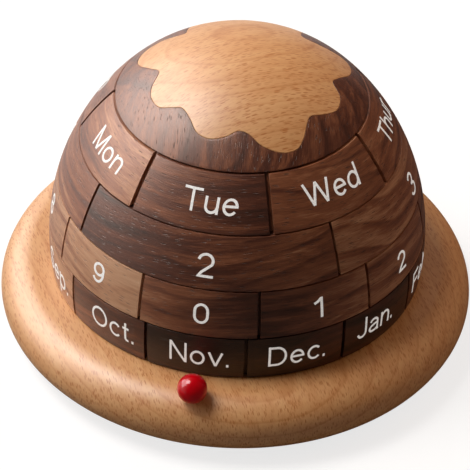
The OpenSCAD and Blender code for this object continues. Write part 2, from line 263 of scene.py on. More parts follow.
class CalendarSizes(PropertyGroup):
    """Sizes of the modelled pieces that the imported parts' boxes don't give."""
    dome_width: length("Dome width", "Widest diameter of the dome", 98.8 * MM)
    crown_width: length("Crown width", "Diameter of the dome at the crown's foot", 64.6 * MM)
    crown_height: length("Crown height", "Height of the crown over its foot", 14 * MM)
    edge: length("Edge", "Radius of the softened edges of rings and crown", 0.32 * MM)
    groove_depth: length("Groove depth", "Depth of the grooves between tiles", 1.2 * MM)
    inlay_margin: length("Inlay margin", "Walnut outside the inlay's longest lobe", 2.8 * MM)
    inlay_turn: angle("Inlay turn", "How far right of the pointer the inlay's front is", -2.6)
    inlay_edge: length("Inlay edge", "Radius of the edges along the inlay", 0.14 * MM)
    glue_line: length("Glue line", "Thickness of glue between fixed pieces", 0.05 * MM)
    rim_over: length("Rim over", "How far the base's upper edge rounds in", 8.5 * MM)
    rim_under: length("Rim under", "How far the base's lower edge rounds in", 10.5 * MM)
    nose: length("Nose", "Height of the base's widest line over its underside", 7.8 * MM)
    recess: length("Recess", "Clearance round a screw's washer", 0.4 * MM)
    seat: length("Seat", "Clearance round a glide washer", 0.2 * MM)
    pad_edge: length("Pad edge", "Radius of a felt pad's soft edge", 0.35 * MM)
    paint: length("Paint", "Thickness of the painted letters", 0.05 * MM)
    stroke: length("Stroke", "Width of the letters' strokes", 0.65 * MM)


class CalendarColours(PropertyGroup):
    """Colours of the finishes."""
    walnut_dark: colour("Walnut, dark", "Late wood and dark streaks", "#1e0e08")
    walnut: colour("Walnut", "Most of the walnut", "#562a19")
    walnut_light: colour("Walnut, light", "Light streaks", "#8a5133")
    sapwood: colour("Walnut sapwood", "The palest staves", "#bd8a66")
    sapwood_light: colour("Walnut sapwood, light", "Streaks in the palest staves", "#d6ab88")
    pore: colour("Walnut pore", "Open pores", "#160a06")
    beech_light: colour("Beech, light", "Early wood", "#dba974")
    beech: colour("Beech", "Most of the beech", "#cf955f")
    beech_dark: colour("Beech, dark", "Late wood", "#ba7a42")
    fleck: colour("Beech fleck", "Short brown ray flecks", "#ad6428")
    lacquer: colour("Lacquer", "The ball pointer", "#c60010")
    paint: colour("Paint", "The letters", "#c9c6c2")
    felt: colour("Felt", "The pads", "#3c3b39")
    nylon: colour("Nylon", "The glide washers", "#e9e4d8")
    zinc: colour("Zinc", "Screws, washers and pin", "#b9bbbd")


class StageSettings(PropertyGroup):
    """The view and the studio."""
    turn: angle("View turn", "How far right of the pointer the view stands", 9.8)
    rise: angle("View rise", "Height of the view over the horizon", 39.4)
    roll: angle("View roll", "Turn of the view round its own axis", 1.95)
    field: angle("Field of view", "Width of the view", 12.0)
    distance: length("View distance", "From the view to its target", 590.6 * MM)
    target_height: length("Target height", "Height of the view's target", 22.97 * MM)
    target_left: length("Target left", "How far left of the axis the target is", 0.53 * MM)
    key_lamp: power("Key", "Soft lamp high at the left", 9.4)
    window_lamp: power("Window", "Wide soft lamp at the left, behind", 8.9)
    window_pane: power("Window pane", "What a gloss shows of the window", 21.5)
    side_lamp: power("Side", "Weak soft lamp at the right", 4.0)
    sky: amount("Sky", "Light from all round", 0.09)
    warmth: colour("Warmth", "Tint of the side lamp and of the light from all round", "#ffdcc0")
    bright_side: angle("Bright side", "How far right of the viewer a gloss sees the room "
                       "brightest", -122)
    shade: amount("Shade", "What a gloss shows of the side away from the window", 0.04)
    floor: colour("Floor", "The pale floor", "#93918f")
    floor_shade: amount("Floor shade", "What a gloss shows of the floor's own colour", 0.25)
    floor_rise: length("Floor rise", "From the axis to where a gloss sees the floor pale",
                       150 * MM)
    lift: amount("Lift", "How much whiter the floor looks than it lights the calendar", 0.76)


def sizes():
    return bpy.context.scene.calendar_sizes


def colours():
    return bpy.context.scene.calendar_colours


# ---------------------------------------------------------------- outlines

class Dome:
    """The dome's outer face: a cap of a sphere, and an arc that leaves it smoothly."""

    def __init__(self):
        crown_r = sizes().crown_width / 2
        height = sizes().crown_height
        self.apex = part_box("crown_inlay")[1].z
        self.foot = self.apex - height
        self.cap_r = (crown_r ** 2 + height ** 2) / (2 * height)
        self.cap_z = self.apex - self.cap_r
        lean_r = crown_r / self.cap_r
        lean_z = (self.foot - self.cap_z) / self.cap_r
        self.side_r = (sizes().dome_width / 2 - crown_r) / (1 - lean_r)
        self.side_x = sizes().dome_width / 2 - self.side_r
        self.side_z = self.foot - self.side_r * lean_z

    def radius(self, height):
        if height > self.foot:
            return math.sqrt(self.cap_r ** 2 - (height - self.cap_z) ** 2)
        return self.side_x + math.sqrt(self.side_r ** 2 - (height - self.side_z) ** 2)

    def height(self, radius):
        """Height of the cap at a distance from the axis."""
        return self.cap_z + math.sqrt(self.cap_r ** 2 - radius ** 2)

    def wrap(self, x, y, middle, heading, lift):
        """Place of a flat point (x, y) laid on a ring round its middle height."""
        rise = math.asin((middle - self.side_z) / self.side_r) + y / self.side_r
        radius = self.side_x + (self.side_r + lift) * math.cos(rise)
        turn = heading + x / radius
        return Vector((radius * math.cos(turn), radius * math.sin(turn),
                       self.side_z + (self.side_r + lift) * math.sin(rise)))


def between(start, end, steps):
    return [start + (end - start) * i / steps for i in range(steps + 1)]


def bow(centre, width, height, start, end, steps):
    """Points along an ellipse's arc, from one angle to another in degrees."""
    return [(centre[0] + width * math.cos(math.radians(a)),
             centre[1] + height * math.sin(math.radians(a)))
            for a in between(start, end, steps)]


def lobe_outline(reach):
    """The inlay's smooth edge in plan, through the lobes' points."""
    corners = []
    for degrees, share in LOBES:
        turn = POINTER + math.radians(degrees) + sizes().inlay_turn
        corners.append(reach * share / 100 * Vector((math.cos(turn), math.sin(turn))))
    count = len(corners)
    outline = []
    for i in range(count):
        a, b, c, d = (corners[(i + k) % count] for k in (-1, 0, 1, 2))
        for s in range(LOBE_STEPS):
            t = s / LOBE_STEPS
            outline.append((2 * b + (c - a) * t + (2 * a - 5 * b + 4 * c - d) * t ** 2
                            + (3 * b - a - 3 * c + d) * t ** 3) / 2)
    return outline


# ---------------------------------------------------------------- shapes

def lathe(outline):
    """Turns a closed outline of (radius, height) points round the axis."""
    shape = bmesh.new()
    corners = [shape.verts.new((radius, 0, height)) for radius, height in outline]
    sides = [shape.edges.new(pair) for pair in zip(corners, corners[1:] + corners[:1])]
    bmesh.ops.spin(shape, geom=corners + sides, axis=(0, 0, 1), cent=(0, 0, 0),
                   angle=math.tau, steps=TURN_STEPS, use_merge=True)
    bmesh.ops.remove_doubles(shape, verts=shape.verts, dist=WELD)
    return shape


def draw_out(shape, edges, points):
    """Extrudes a closed row of edges to the points of the next row. A vertex keeps
    its place in the row through the extrusions."""
    place = shape.verts.layers.int["place"]
    grown = bmesh.ops.extrude_edge_only(shape, edges=edges)["geom"]
    corners = {v for v in grown if isinstance(v, bmesh.types.BMVert)}
    for v in corners:
        v.co = points[v[place]]
    return [e for e in grown if isinstance(e, bmesh.types.BMEdge)
            and e.verts[0] in corners and e.verts[1] in corners]


def loft(rows):
    """Draws the first closed row of points out through the others. Returns the shape
    and each row's edges."""
    shape = bmesh.new()
    place = shape.verts.layers.int.new("place")
    corners = [shape.verts.new(point) for point in rows[0]]
    for i, corner in enumerate(corners):
        corner[place] = i
    edges = [[shape.edges.new(pair) for pair in zip(corners, corners[1:] + corners[:1])]]
    for row in rows[1:]:
        edges.append(draw_out(shape, edges[-1], row))
    return shape, edges


def close_end(shape, edges, centre):
    """Closes a row of edges with a fan to its centre."""
    place = shape.verts.layers.int["place"]
    count = max(v[place] for e in edges for v in e.verts) + 1
    last = draw_out(shape, edges, [centre] * count)
    bmesh.ops.remove_doubles(shape, verts=list({v for e in last for v in e.verts}), dist=WELD)


def soften(shape, edges, width, segments=3):
    """Rounds edges over."""
    bmesh.ops.recalc_face_normals(shape, faces=shape.faces)
    bmesh.ops.bevel(shape, geom=edges, offset=width, offset_type="OFFSET",
                    segments=segments, profile=0.5, affect="EDGES", material=-1,
                    clamp_overlap=True)


def edges_where(shape, test):
    """Edges with a crease whose two ends pass the test."""
    return [e for e in shape.edges
            if e.calc_face_angle(0) > CREASE and test(e.verts[0].co) and test(e.verts[1].co)]


def piece(name, shape, body, finish, replaces=()):
    """Makes a shape a piece of the calendar that rides on a body."""
    bmesh.ops.remove_doubles(shape, verts=shape.verts, dist=WELD)
    bmesh.ops.recalc_face_normals(shape, faces=shape.faces)
    mesh = bpy.data.meshes.new(name)
    shape.to_mesh(mesh)
    shape.free()
    mesh.materials.append(finish)
    mesh.shade_smooth()
    mesh.set_sharp_from_angle(angle=SHARP)
    made = bpy.data.objects.new(name, mesh)
    bpy.context.scene.collection.objects.link(made)
    shading = made.modifiers.new("Even shading", "WEIGHTED_NORMAL")
    shading.keep_sharp = True
    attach(made, body)
    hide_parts(*replaces)
    return made


def around(vector):
    """Distance from the axis."""
    return math.hypot(vector.x, vector.y)


def trace(stroke, step):
    """Points along a stroke's middle, no further than a step from one to the next."""
    corners = []
    for part in stroke:
        corners += [part] if len(part) == 2 else bow(part[:2], *part[2:], ARC_STEPS)
    path = [Vector(corners[0])]
    for corner in corners[1:]:
        start = path[-1]
        gap = (Vector(corner) - start).length
        count = math.ceil(gap / step) if gap > JOINED else 0
        path += [start.lerp(Vector(corner), (i + 1) / count) for i in range(count)]
    return path


def ribbon(path, half, lay):
    """Lofts a flat stroke along a path. Lay gives the place of a point at a level of
    1 above the surface or -1 below it."""
    ring = (path[0] - path[-1]).length < JOINED
    if ring:
        path = path[:-1]
    rows = []
    for i, point in enumerate(path):
        before = path[i - 1] if i or ring else point
        after = path[(i + 1) % len(path)] if i + 1 < len(path) or ring else point
        ways = [way.normalized() for way in (point - before, after - point) if way.length]
        way = sum(ways, Vector((0, 0))).normalized()
        mitre = 1 / max(way.dot(ways[0]), 1 / MITRE)
        side = Vector((-way.y, way.x)) * half * mitre
        rows.append([lay(point + side, 1), lay(point - side, 1),
                     lay(point - side, -1), lay(point + side, -1)])
    shape, edges = loft(rows)
    if ring:
        bmesh.ops.bridge_loops(shape, edges=edges[-1] + edges[0])
    else:
        bmesh.ops.holes_fill(shape, edges=edges[0] + edges[-1], sides=4)
    return shape


def saw_from_board(made, lay):
    """Notes at each point of a walnut piece where it was in its board, in millimetres
    with the fibres along x, and its tone, which on the rings' tiles holds painted light,
    shade and sheen as well as the wood's own tone. Lay gives both for a point."""
    mesh = made.data
    noted = [lay(v.co) for v in mesh.vertices]
    places = mesh.attributes.new("board", "FLOAT_VECTOR", "POINT")
    places.data.foreach_set("vector", [x for place, tone in noted for x in place])
    tones = mesh.attributes.new("tone", "FLOAT", "POINT")
    tones.data.foreach_set("value", [tone for place, tone in noted])


# ---------------------------------------------------------------- finishes

def fill(tree, node, inputs):
    """Links or sets a node's inputs."""
    for key, value in inputs.items():
        if isinstance(value, bpy.types.NodeSocket):
            tree.links.new(value, node.inputs[key])
        else:
            node.inputs[key].default_value = value


def add(tree, kind, inputs=None, stops=(), **settings):
    """Adds a node, sets it, and fills its inputs. A ramp's stops are its two ends and
    then those between, and a stop's colour may be a number, for a grey."""
    made = tree.nodes.new(kind)
    for name, value in settings.items():
        setattr(made, name, value)
    fill(tree, made, inputs or {})
    for i, (position, tone) in enumerate(stops):
        ramp = made.color_ramp.elements
        stop = ramp[i] if i < 2 else ramp.new(position)
        stop.position = position
        stop.color = (tone, tone, tone, 1) if isinstance(tone, float) else tone
    return made


def begin(name):
    """A new material, its node tree and its Principled shader."""
    material = bpy.data.materials.new(name)
    material.use_nodes = True
    tree = material.node_tree
    return material, tree, tree.nodes["Principled BSDF"]


def sawn(grain):
    """Turns the calendar's axes to those of a board: x runs along the fibres, and the
    tree's pith is the x axis."""
    return (Matrix.Rotation(math.radians(grain.tilt), 3, "Y")
            @ Matrix.Rotation(math.radians(90 - grain.heading), 3, "Z"))


def figure(tree, place, drift, bend, taper, year, seasons, streaks, threads):
    """A wood's figure at a place in its board: how late in its year it grew, its
    streaks and its fibres. Its growth rings are slim cones that lie a year's width
    apart and wander a few millimetres over a hand's width. Streaks and threads are
    each a noise's scale along and across the board, its detail and its roughness."""
    wander = add(tree, "ShaderNodeTexNoise", {"Vector": place, "Scale": drift, "Detail": 2.0})
    bent = add(tree, "ShaderNodeVectorMath", {
        0: wander.outputs["Color"], 1: (bend, bend, bend), 2: place},
        operation="MULTIPLY_ADD").outputs[0]
    across = add(tree, "ShaderNodeVectorMath", {0: bent, 1: (taper, 1, 1)},
                 operation="MULTIPLY")
    radius = add(tree, "ShaderNodeVectorMath", {0: across.outputs[0]}, operation="LENGTH")
    years = add(tree, "ShaderNodeMath", {0: radius.outputs["Value"], 1: 1 / year},
                operation="MULTIPLY")
    season = add(tree, "ShaderNodeMath", {0: years.outputs[0]}, operation="FRACT")
    late = add(tree, "ShaderNodeValToRGB", {"Fac": season.outputs[0]}, stops=seasons)
    found = [late.outputs["Color"]]
    for where, (scale, detail, roughness) in ((bent, streaks), (place, threads)):
        drawn = add(tree, "ShaderNodeMapping", {"Vector": where, "Scale": scale})
        noise = add(tree, "ShaderNodeTexNoise", {
            "Vector": drawn.outputs[0], "Scale": 1.0, "Detail": detail, "Roughness": roughness})
        found.append(noise.outputs["Fac"])
    return found


def specks(tree, place, cell, start, full):
    """Marks that lie one to a cell of a board: how deep in its mark a place is, and
    three random values of its cell. Cell is the number of cells to a millimetre
    along and across the board."""
    drawn = add(tree, "ShaderNodeMapping", {"Vector": place, "Scale": cell})
    cells = add(tree, "ShaderNodeTexVoronoi", {"Vector": drawn.outputs[0], "Scale": 1.0})
    inside = add(tree, "ShaderNodeMapRange", {
        "Value": cells.outputs["Distance"], "From Min": start, "From Max": full},
        interpolation_type="SMOOTHSTEP")
    chance = add(tree, "ShaderNodeSeparateColor", {"Color": cells.outputs["Color"]})
    return inside.outputs[0], chance.outputs


def layered(tree, depth, *layers):
    """Adds layers to a depth, each by its share."""
    for layer, share in layers:
        depth = add(tree, "ShaderNodeMath", {0: layer, 1: share, 2: depth},
                    operation="MULTIPLY_ADD").outputs[0]
    return depth


def walnut():
    """Black walnut, turned, sanded and oiled to a satin sheen. Chocolate heartwood with
    lighter streaks along the fibres, and open pores: short dark dashes on the long
    grain, dots on the end grain."""
    material, tree, shader = begin("oiled_walnut")
    tone = colours()
    place = add(tree, "ShaderNodeAttribute", attribute_name="board").outputs["Vector"]
    # The tone noted on each piece: on the rings' tiles it holds painted light, shade and sheen
    # as well as the stave's own tone.
    shade = add(tree, "ShaderNodeAttribute", attribute_name="tone").outputs["Fac"]
    # Streaks are about 2 mm wide and 3 cm long, and fibres 0.2 mm across.
    late, streak, fibre = figure(
        tree, place, drift=0.025, bend=9, taper=0.06, year=3.4,
        seasons=((0.0, 0.0), (1.0, 0.15), (0.62, 0.25), (0.9, 1.0)),
        streaks=((0.035, 0.5, 0.5), 5.0, 0.62), threads=((0.22, 4.5, 4.5), 3.0, 0.7))
    # The first number brings the sum to the middle of the ramp.
    depth = layered(tree, -0.05, (shade, 0.4), (streak, 0.42), (fibre, 0.24), (late, -0.08))
    wood = add(tree, "ShaderNodeValToRGB", {"Fac": depth}, stops=(
        (0.3, tone.walnut_dark), (0.9, tone.sapwood_light), (0.46, tone.walnut),
        (0.59, tone.walnut_light), (0.72, tone.sapwood)))
    # Pores are 0.2 mm across and 2 mm long.
    pore, chance = specks(tree, place, (0.3, 2.6, 2.6), 0.3, 0.12)
    some = add(tree, "ShaderNodeMath", {0: chance["Red"], 1: 0.42}, operation="GREATER_THAN")
    pores = add(tree, "ShaderNodeMath", {0: pore, 1: some.outputs[0]},
                operation="MULTIPLY").outputs[0]
    sunk = add(tree, "ShaderNodeMath", {0: pores, 1: 0.75}, operation="MULTIPLY")
    mixed = add(tree, "ShaderNodeMix", {
        0: sunk.outputs[0], 6: wood.outputs["Color"], 7: tone.pore}, data_type="RGBA")
    gloss = add(tree, "ShaderNodeMapRange", {"Value": fibre, "To Min": 0.32, "To Max": 0.5})
    bump = add(tree, "ShaderNodeBump", {
        "Height": layered(tree, fibre, (pores, -1.0)), "Strength": 0.65,
        "Distance": 0.09 * MM})
    fill(tree, shader, {
        "Base Color": mixed.outputs[2], "Normal": bump.outputs[0],
        "Roughness": layered(tree, gloss.outputs[0], (pores, 0.2)),
        "IOR": 1.45, "Specular IOR Level": 1.0, "Specular Tint": linear("#ffece0")})
    return material


def beech(name, grain):
    """European beech, turned, sanded and oiled to a satin sheen. An even warm tan with
    faint growth rings and short brown flecks where the rays come to the surface."""
    material, tree, shader = begin(name)
    tone = colours()
    place = add(tree, "ShaderNodeMapping", {
        "Vector": add(tree, "ShaderNodeTexCoord").outputs["Object"], "Location": grain.shift,
        "Rotation": sawn(grain).to_euler(), "Scale": (1 / MM,) * 3}).outputs["Vector"]
    late, streak, fibre = figure(
        tree, place, drift=0.018, bend=5, taper=0.05, year=3.8,
        seasons=((0.0, 0.0), (1.0, 0.1), (0.78, 0.15), (0.93, 1.0)),
        streaks=((0.03, 0.35, 0.35), 4.0, 0.55), threads=((0.3, 4.0, 4.0), 3.0, 0.6))
    depth = layered(tree, 0.27, (late, -0.2), (streak, 0.5), (fibre, 0.25))
    wood = add(tree, "ShaderNodeValToRGB", {"Fac": depth}, stops=(
        (0.32, tone.beech_dark), (0.86, tone.beech_light), (0.58, tone.beech)))
    # Rays are thin upright plates: flecks 1 to 2 mm long and 0.3 mm wide on the flat.
    plate, chance = specks(tree, place, (0.5, 2.8, 0.9), 0.55, 0.26)
    strength = add(tree, "ShaderNodeMapRange", {
        "Value": chance["Green"], "From Min": 0.05, "To Max": 0.95})
    flecks = add(tree, "ShaderNodeMath", {0: plate, 1: strength.outputs[0]},
                 operation="MULTIPLY").outputs[0]
    mixed = add(tree, "ShaderNodeMix", {
        0: flecks, 6: wood.outputs["Color"], 7: tone.fleck}, data_type="RGBA")
    gloss = add(tree, "ShaderNodeMapRange", {"Value": fibre, "To Min": 0.36, "To Max": 0.5})
    bump = add(tree, "ShaderNodeBump", {
        "Height": layered(tree, fibre, (flecks, -0.6)), "Strength": 0.35,
        "Distance": 0.04 * MM})
    fill(tree, shader, {
        "Base Color": mixed.outputs[2], "Normal": bump.outputs[0],
        "Roughness": gloss.outputs[0], "IOR": 1.45, "Specular IOR Level": 0.9})
    return material


def mottle(tree, grain, noise, *stops):
    """A fine mottle: its level at a place, and the colour it has there. Its grain is
    given in millimetres along x, y and z."""
    place = add(tree, "ShaderNodeTexCoord").outputs["Object"]
    drawn = add(tree, "ShaderNodeMapping", {
        "Vector": place, "Scale": [1 / (size * MM) for size in grain]})
    level = add(tree, "ShaderNodeTexNoise", {
        "Vector": drawn.outputs[0], "Scale": 1.0, **noise}).outputs["Fac"]
    ramp = add(tree, "ShaderNodeValToRGB", {"Fac": level}, stops=stops)
    return level, ramp.outputs["Color"]


def lacquer():
    """Nitrocellulose lacquer, dipped and polished, over a turned bead: a deep even red
    under a hard clear gloss, with the faintest waves where it ran while drying."""
    material, tree, shader = begin("red_lacquer")
    red = colours().lacquer
    waves, tone = mottle(tree, (3, 3, 3), {}, (0.3, times(red, 0.8)), (0.7, red))
    bump = add(tree, "ShaderNodeBump", {
        "Height": waves, "Strength": 0.2, "Distance": 0.05 * MM})
    fill(tree, shader, {
        "Base Color": tone, "Normal": bump.outputs[0], "Roughness": 0.3,
        "Specular IOR Level": 0.05, "Coat Weight": 0.7, "Coat Roughness": 0.04})
    return material


def letter_paint():
    """Two-part printing ink, pad-printed and baked: an opaque warm white with a low
    sheen, a little thin where the wood's grain shows through. It glows with painted
    light, so that it stays near white in the shade."""
    material, tree, shader = begin("white_letter_ink")
    white = colours().paint
    grit, tone = mottle(tree, (0.5, 0.5, 0.5), {"Detail": 3.0},
                        (0.25, times(white, 0.78)), (0.6, white))
    bump = add(tree, "ShaderNodeBump", {
        "Height": grit, "Strength": 0.3, "Distance": 0.02 * MM})
    # The emission is painted light: the letters glow so that they stay near white in the shade.
    fill(tree, shader, {
        "Base Color": tone, "Emission Color": tone, "Emission Strength": 0.7,
        "Normal": bump.outputs[0], "Roughness": 0.5})
    return material


def felt():
    """Pressed wool felt: matted fibres that scatter light softly, without any gloss."""
    material, tree, shader = begin("pressed_felt")
    grey = colours().felt
    mat, tone = mottle(
        tree, (0.35, 0.35, 0.35), {"Detail": 5.0, "Roughness": 0.75, "Distortion": 1.5},
        (0.3, times(grey, 0.5)), (0.7, times(grey, 1.7)))
    bump = add(tree, "ShaderNodeBump", {
        "Height": mat, "Strength": 0.8, "Distance": 0.15 * MM})
    fill(tree, shader, {
        "Base Color": tone, "Normal": bump.outputs[0], "Roughness": 0.95,
        "Sheen Weight": 0.4, "Specular IOR Level": 0.2})
    return material


def nylon():
    """Natural nylon 6.6 stamped from sheet: waxy, slightly milky, with fine rolling
    marks."""
    material, tree, shader = begin("natural_nylon")
    milk = colours().nylon
    rolled, tone = mottle(tree, (5, 0.25, 0.5), {}, (0.3, times(milk, 0.9)), (0.7, milk))
    bump = add(tree, "ShaderNodeBump", {
        "Height": rolled, "Strength": 0.2, "Distance": 0.02 * MM})
    fill(tree, shader, {
        "Base Color": tone, "Normal": bump.outputs[0], "Roughness": 0.42, "IOR": 1.53})
    return material


def zinc_plate():
    """Bright zinc plate on cold-headed steel: bluish grey, softly mirrored, with a
    cloudy grain from the plating bath."""
    material, tree, shader = begin("zinc_plated_steel")
    zinc = colours().zinc
    cloud, tone = mottle(tree, (0.8, 0.8, 0.8), {"Detail": 4.0},
                         (0.3, times(zinc, 0.8)), (0.7, zinc))
    worn = add(tree, "ShaderNodeMapRange", {"Value": cloud, "To Min": 0.22, "To Max": 0.42})
    fill(tree, shader, {
        "Base Color": tone, "Roughness": worn.outputs[0], "Metallic": 1.0})
    return material


def refinish(material, *nodes):
    """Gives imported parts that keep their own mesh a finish."""
    for node in nodes:
        for slot in frame["nodes"][node].material_slots:
            slot.material = material


# ---------------------------------------------------------------- pieces

class CALENDAR_OT_base(Operator):
    """Turn the beech base: a saucer with a fat rolled rim"""
    bl_idname = "calendar.base"
    bl_label = "Base"

    def execute(self, context):
        size = sizes()
        low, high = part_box("base")
        nose = low.z + size.nose
        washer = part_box("base_screw_washer")
        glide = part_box("washer_under_months")
        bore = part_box("base_screw")[0].x * -SHANK + size.recess
        recess = washer[1].x + size.recess
        roof = washer[1].z
        seat = glide[1].x + size.seat
        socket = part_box("post")[1].x + size.glue_line
        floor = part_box("post")[0].z - size.glue_line
        outline = [(bore, roof), (recess, roof), (recess, low.z)]
        under = high.x - size.rim_under
        over = high.x - size.rim_over
        outline += [(r, low.z) for r in between(recess, under, FLAT_STEPS)[1:-1]]
        outline += bow((under, nose), size.rim_under, size.nose, -90, 0, RIM_STEPS)
        outline += bow((over, nose), size.rim_over, high.z - nose, 0, 90, RIM_STEPS)[1:]
        outline += [(r, high.z) for r in between(over, seat, FLAT_STEPS)[1:]]
        outline += [(seat, glide[0].z), (socket, glide[0].z), (socket, floor), (bore, floor)]
        shape = lathe(outline)
        mouth = edges_where(shape, lambda p: p.z < low.z + WELD and around(p) < recess + WELD)
        soften(shape, mouth, size.edge)
        piece("turned_base", shape, "base", beech("oiled_beech_base", BASE_GRAIN),
              ["base"])
        return {"FINISHED"}


class CALENDAR_OT_pads(Operator):
    """Cut the felt pads that the base stands on"""
    bl_idname = "calendar.pads"
    bl_label = "Felt pads"

    def execute(self, context):
        size = sizes()
        low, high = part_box("foot_pads")
        corners = {(round(v.co.x / MM), round(v.co.y / MM))
                   for v in frame["nodes"]["foot_pads"].data.vertices}
        reach = max(math.hypot(*c) for c in corners) * MM
        inner = min(math.hypot(*c) for c in corners) * MM
        middle = (reach + inner) / 2
        shape = bmesh.new()
        for heading in (45, 135, 225, 315):
            turn = math.radians(heading)
            place = Matrix.Translation((middle * math.cos(turn), middle * math.sin(turn), low.z))
            disc = bmesh.ops.create_circle(
                shape, cap_ends=True, segments=PAD_STEPS, radius=(reach - inner) / 2,
                matrix=place)["verts"]
            faces = list({f for v in disc for f in v.link_faces})
            grown = bmesh.ops.extrude_face_region(shape, geom=faces, use_keep_orig=True)
            lifted = [v for v in grown["geom"] if isinstance(v, bmesh.types.BMVert)]
            bmesh.ops.translate(shape, verts=lifted, vec=(0, 0, high.z - low.z))
        rims = edges_where(shape, lambda p: p.z < low.z + WELD)
        soften(shape, rims, size.pad_edge, 4)
        piece("felt_pads", shape, "base", felt(), ["foot_pads"])
        return {"FINISHED"}


class CALENDAR_OT_pointer(Operator):
    """Turn and lacquer the ball that points at the date"""
    bl_idname = "calendar.pointer"
    bl_label = "Ball pointer"

    def execute(self, context):
        low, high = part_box("pointer_ball")
        radius = (high.x - low.x) / 2
        middle = Vector((low.x + radius, low.y + radius, high.z - radius))
        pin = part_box("pointer_pin")
        bore = pin[1].x + sizes().glue_line
        reach = pin[1].z + sizes().glue_line - middle.z
        start = -math.degrees(math.acos(bore / radius))
        outline = bow((0, 0), radius, radius, start, 90, BALL_STEPS)
        outline += [(0, reach), (bore, reach)]
        shape = lathe(outline)
        bmesh.ops.translate(shape, verts=shape.verts, vec=middle)
        piece("lacquered_ball", shape, "base", lacquer(), ["pointer_ball"])
        return {"FINISHED"}


class CALENDAR_OT_rings(Operator):
    """Turn the four walnut rings and saw the grooves between their tiles"""
    bl_idname = "calendar.rings"
    bl_label = "Rings"

    def execute(self, context):
        finish = walnut()
        for number, ring in enumerate(RINGS):
            self.turn_ring(ring, number, finish)
        return {"FINISHED"}

    def turn_ring(self, ring, number, finish):
        size = sizes()
        dome = Dome()
        low, high = (corner.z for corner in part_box(ring.node))
        bore = min(around(v.co) for v in frame["nodes"][ring.node].data.vertices)
        depth = size.groove_depth
        heights = [low, low + LIP, *between(low, high, FACE_STEPS)[1:-1], high - LIP, high]
        face = [(dome.radius(z), z, depth) for z in heights]
        outline = [(bore, low, 0), (dome.radius(low) - CORE, low, 0), *face,
                   (dome.radius(high) - CORE, high, 0), (bore, high, 0)]

        def section(middle, side, sunk):
            """The outline in a plane beside a groove's middle."""
            points = []
            for radius, z, cut in outline:
                turn = middle + math.asin(side / radius)
                reach = radius - cut if sunk else radius
                points.append(Vector((reach * math.cos(turn), reach * math.sin(turn), z)))
            return points

        count = len(ring.tiles)
        pitch = math.tau / count
        steps = round(RING_STEPS / count)
        first = POINTER + math.radians(ring.turn)
        half = ring.groove / 2
        rows = []
        for k in range(count):
            middle = first + (k + 0.5) * pitch
            rows += [section(middle, -half, False), section(middle, -half, True),
                     section(middle, half, True), section(middle, half, False)]
            for i in range(1, steps):
                slide = 1 - 2 * i / steps
                rows.append(section(middle + pitch * i / steps, half * slide, False))
        shape, edges = loft(rows)
        bmesh.ops.bridge_loops(shape, edges=edges[-1] + edges[0])
        bmesh.ops.remove_doubles(shape, verts=shape.verts, dist=WELD)
        bmesh.ops.recalc_face_normals(shape, faces=shape.faces)
        rims = [e for e in edges_where(
                    shape, lambda p: around(p) > dome.radius(p.z) - depth - WELD)
                if e.is_convex]
        soften(shape, rims, size.edge)
        made = piece("turned_" + ring.node, shape, ring.node, finish, [ring.node])

        def lay(point):
            """Each tile is a stave of its own. Its fibres run round the ring, a few
            degrees off level, and it comes from its own place in the board."""
            tiles = (math.atan2(point.y, point.x) - first) / pitch
            stave = round(tiles)
            k = stave % count
            across = (tiles - stave) * pitch * around(point) / MM
            rise = (point.z - low) / MM
            slope = math.radians(LEAN * math.sin(2.4 * k + number))
            place = Vector((across * math.cos(slope) + rise * math.sin(slope),
                            rise * math.cos(slope) - across * math.sin(slope),
                            around(point) / MM))
            shift = Vector((70 * k, 17 + 11 * number, 3 * k - 20))
            # A tile's tone runs from its left end to its right; beside the stave's own tone it
            # holds painted light, shade and sheen.
            left, right = ring.tiles[k].tone
            return place + shift, left + (right - left) * (tiles - stave + 0.5)

        saw_from_board(made, lay)


class CALENDAR_OT_crown(Operator):
    """Turn the walnut crown and cut the pocket of its inlay"""
    bl_idname = "calendar.crown"
    bl_label = "Crown"

    def execute(self, context):
        size = sizes()
        dome = Dome()
        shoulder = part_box("crown")[0].z
        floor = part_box("crown_screw_washer")[0].z
        bore = min(around(v.co) for v in frame["nodes"]["crown"].data.vertices)
        foot = dome.radius(shoulder)
        mouth = lobe_outline(size.crown_width / 2 - size.inlay_margin)
        rows = []
        for share in between(0, 1, FACE_STEPS):
            reaches = [p.length + (foot - p.length) * share for p in mouth]
            rows.append([(*(p.normalized() * r), dome.height(r))
                         for p, r in zip(mouth, reaches)])
        rows += [[(*(p.normalized() * bore), z) for p in mouth] for z in (shoulder, floor)]
        rows.append([(*p, floor) for p in mouth])
        shape, edges = loft(rows)
        bmesh.ops.bridge_loops(shape, edges=edges[-1] + edges[0])
        soften(shape, edges[0], size.inlay_edge)
        soften(shape, edges[FACE_STEPS], size.edge)
        made = piece("turned_crown", shape, "base",
                     bpy.data.materials["oiled_walnut"], ["crown"])
        turn = sawn(CROWN_GRAIN)
        shift = Vector(CROWN_GRAIN.shift)
        saw_from_board(made, lambda point: (turn @ point / MM + shift, CROWN_TONE))
        return {"FINISHED"}


